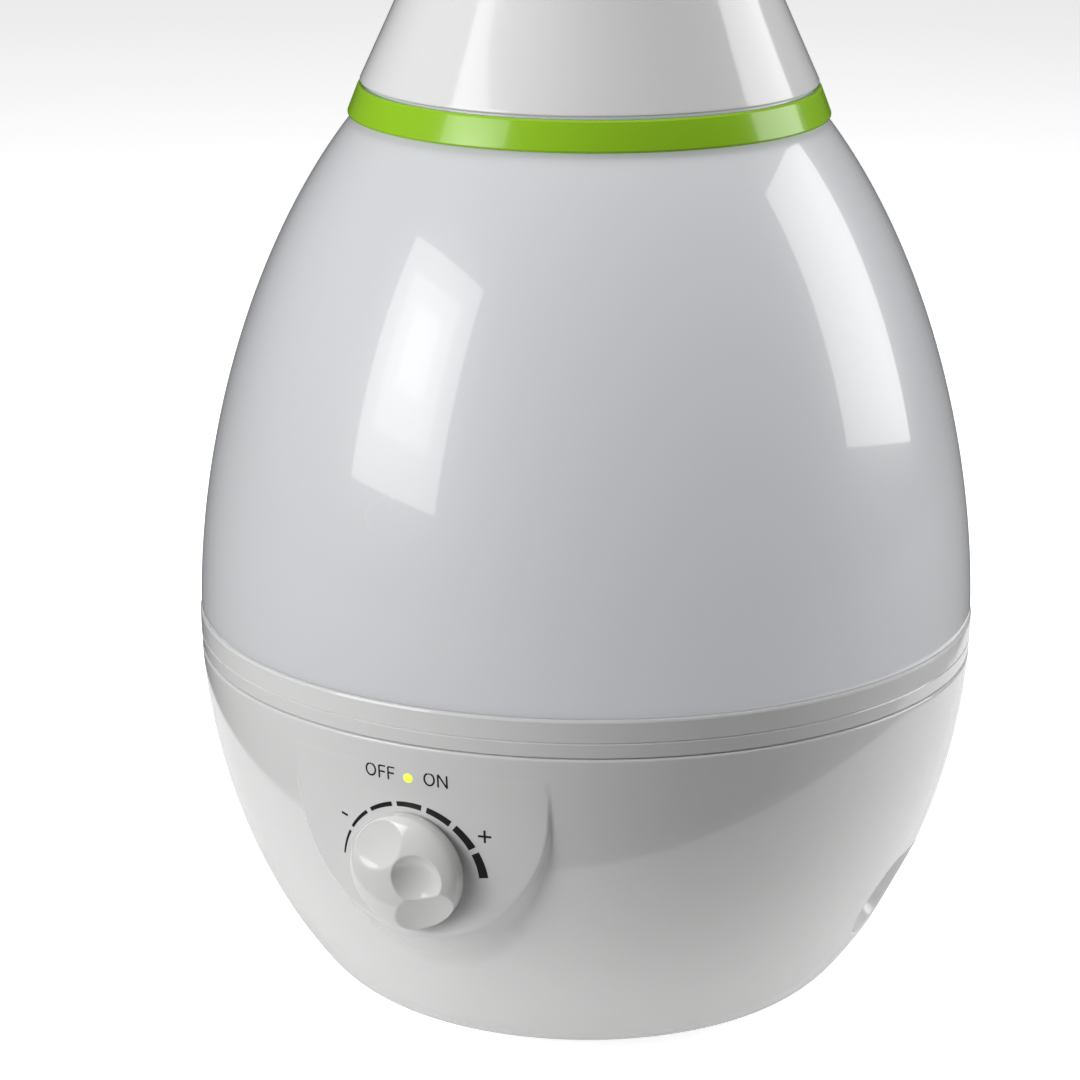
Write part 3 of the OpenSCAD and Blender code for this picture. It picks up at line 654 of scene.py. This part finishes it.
def build_camera():
    data = bpy.data.cameras.new("camera")
    data.lens = 119.87
    data.sensor_width = 36
    camera = bpy.data.objects.new("camera", data)
    scene.collection.objects.link(camera)
    ahead = Vector((math.sin(CAMERA_YAW) * math.cos(CAMERA_PITCH),
                    math.cos(CAMERA_YAW) * math.cos(CAMERA_PITCH),
                    -math.sin(CAMERA_PITCH)))
    right = Vector((math.cos(CAMERA_YAW), -math.sin(CAMERA_YAW), 0))
    up = right.cross(ahead)
    rolled_right = right * math.cos(CAMERA_ROLL) + up * math.sin(CAMERA_ROLL)
    rolled_up = up * math.cos(CAMERA_ROLL) - right * math.sin(CAMERA_ROLL)
    axes = Matrix((rolled_right, rolled_up, -ahead)).transposed()
    turn = Matrix.Rotation(CAMERA_TURN, 4, "Z")
    place = Matrix.Translation((0, -CAMERA_DISTANCE, CAMERA_HEIGHT)) @ axes.to_4x4()
    camera.matrix_world = turn @ place
    scene.camera = camera


build_camera()


# ------------------------------------------------------------------ studio
def heading(turn, rise):
    """Direction from the object, turn degrees right of the camera and rise degrees up."""
    a = math.radians(turn) + CAMERA_TURN
    e = math.radians(rise)
    return Vector((math.sin(a) * math.cos(e), -math.cos(a) * math.cos(e), math.sin(e)))


def softbox(name, turn, rise, distance, width, height, radiance, aim=0.17, mirrored=True, roll=0):
    light = bpy.data.lights.new(name, "AREA")
    light.shape = "RECTANGLE"
    light.size = width
    light.size_y = height
    light.energy = radiance * math.pi * width * height
    lamp = bpy.data.objects.new(name, light)
    scene.collection.objects.link(lamp)
    away = heading(turn, rise)
    lamp.location = Vector((0, 0, aim)) + away * distance
    lamp.rotation_mode = "QUATERNION"
    lamp.rotation_quaternion = away.to_track_quat("Z", "Y") @ Quaternion((0, 0, 1), math.radians(roll))
    lamp.visible_camera = False
    lamp.visible_glossy = mirrored
    return lamp


softbox("softbox_left", -58, 21, 1.05, 0.56, 0.60, 2.9)
softbox("softbox_left_middle", -58, 22, 1.04, 0.36, 0.38, 1.1)
softbox("softbox_left_core", -58, 23, 1.03, 0.18, 0.20, 1.1)
softbox("softbox_right", 103, 19, 1.05, 0.60, 0.64, 2.9, roll=-14)
softbox("fill_left", -75, 6, 1.2, 0.8, 0.8, 2.1, mirrored=False)
softbox("fill_front", -45, 8, 1.2, 0.8, 0.8, 2.1, mirrored=False)
softbox("fill_right", 100, 6, 1.2, 0.8, 0.8, 3.2, mirrored=False)
softbox("softbox_top", 0, 88, 1.6, 1.2, 1.2, 4.5, mirrored=False)


def stage_material(name, colour, glow):
    material, tree, shader, where = new_material(name)
    drift = remap(tree, noise(tree, where, 3), 0, 1)
    shade = tuple(c * 0.99 for c in colour)
    tint = blend_colours(tree, drift, colour, shade)
    tree.links.new(tint, shader.inputs["Base Color"])
    tree.links.new(tint, shader.inputs["Emission Color"])
    shader.inputs["Roughness"].default_value = 0.9
    shader.inputs["Specular IOR Level"].default_value = 0.1
    shader.inputs["Emission Strength"].default_value = glow
    return material


def stage_mesh(name, points, faces, material):
    mesh = bpy.data.meshes.new(name)
    mesh.from_pydata(points, [], faces)
    mesh.update()
    mesh.materials.append(material)
    piece = bpy.data.objects.new(name, mesh)
    scene.collection.objects.link(piece)
    return piece


def ring_of(radius, z, sides, centre=(0, 0)):
    return [(centre[0] + radius * math.cos(2 * math.pi * k / sides),
             centre[1] + radius * math.sin(2 * math.pi * k / sides), z) for k in range(sides)]


def build_stage():
    sides = 96
    # a bright floor that only the camera sees, over the floor that lights the object
    seen = stage_mesh("floor_seen", ring_of(8, 0, sides), [tuple(range(sides))],
                      stage_material("floor_white", (0.9, 0.9, 0.9), 0.75))
    for ray in ("diffuse", "glossy", "transmission", "shadow"):
        setattr(seen, f"visible_{ray}", False)
    # the bright round table under the object and the darker room past its edge
    centre = Matrix.Rotation(CAMERA_TURN, 3, "Z") @ Vector((0.05, 0.10, 0))
    edge = ring_of(0.272, -0.0005, sides, centre)
    table = stage_mesh("table", edge, [tuple(range(sides))],
                       stage_material("table_pale", (0.6, 0.6, 0.6), 0.48))
    room = stage_mesh("room_floor", edge + ring_of(7.5, -0.0005, sides, centre),
                      [(k, (k + 1) % sides, sides + (k + 1) % sides, sides + k) for k in range(sides)],
                      stage_material("room_grey", (0.10, 0.10, 0.10), 0.05))
    table.visible_camera = False
    room.visible_camera = False
    # the room seen behind the floor, for the camera only
    walls = stage_mesh("backdrop", ring_of(8, -0.01, sides) + ring_of(8, 9, sides),
                       [(k, sides + k, sides + (k + 1) % sides, (k + 1) % sides) for k in range(sides)],
                       stage_material("backdrop_pale", (0.9, 0.9, 0.9), 1.2))
    for ray in ("diffuse", "glossy", "transmission", "shadow"):
        setattr(walls, f"visible_{ray}", False)


build_stage()

world = bpy.data.worlds.new("studio")
scene.world = world
world.use_nodes = True
world.node_tree.nodes["Background"].inputs["Color"].default_value = (0.95, 0.97, 1.0, 1)
world.node_tree.nodes["Background"].inputs["Strength"].default_value = 0.04
scene.view_settings.view_transform = "Standard"
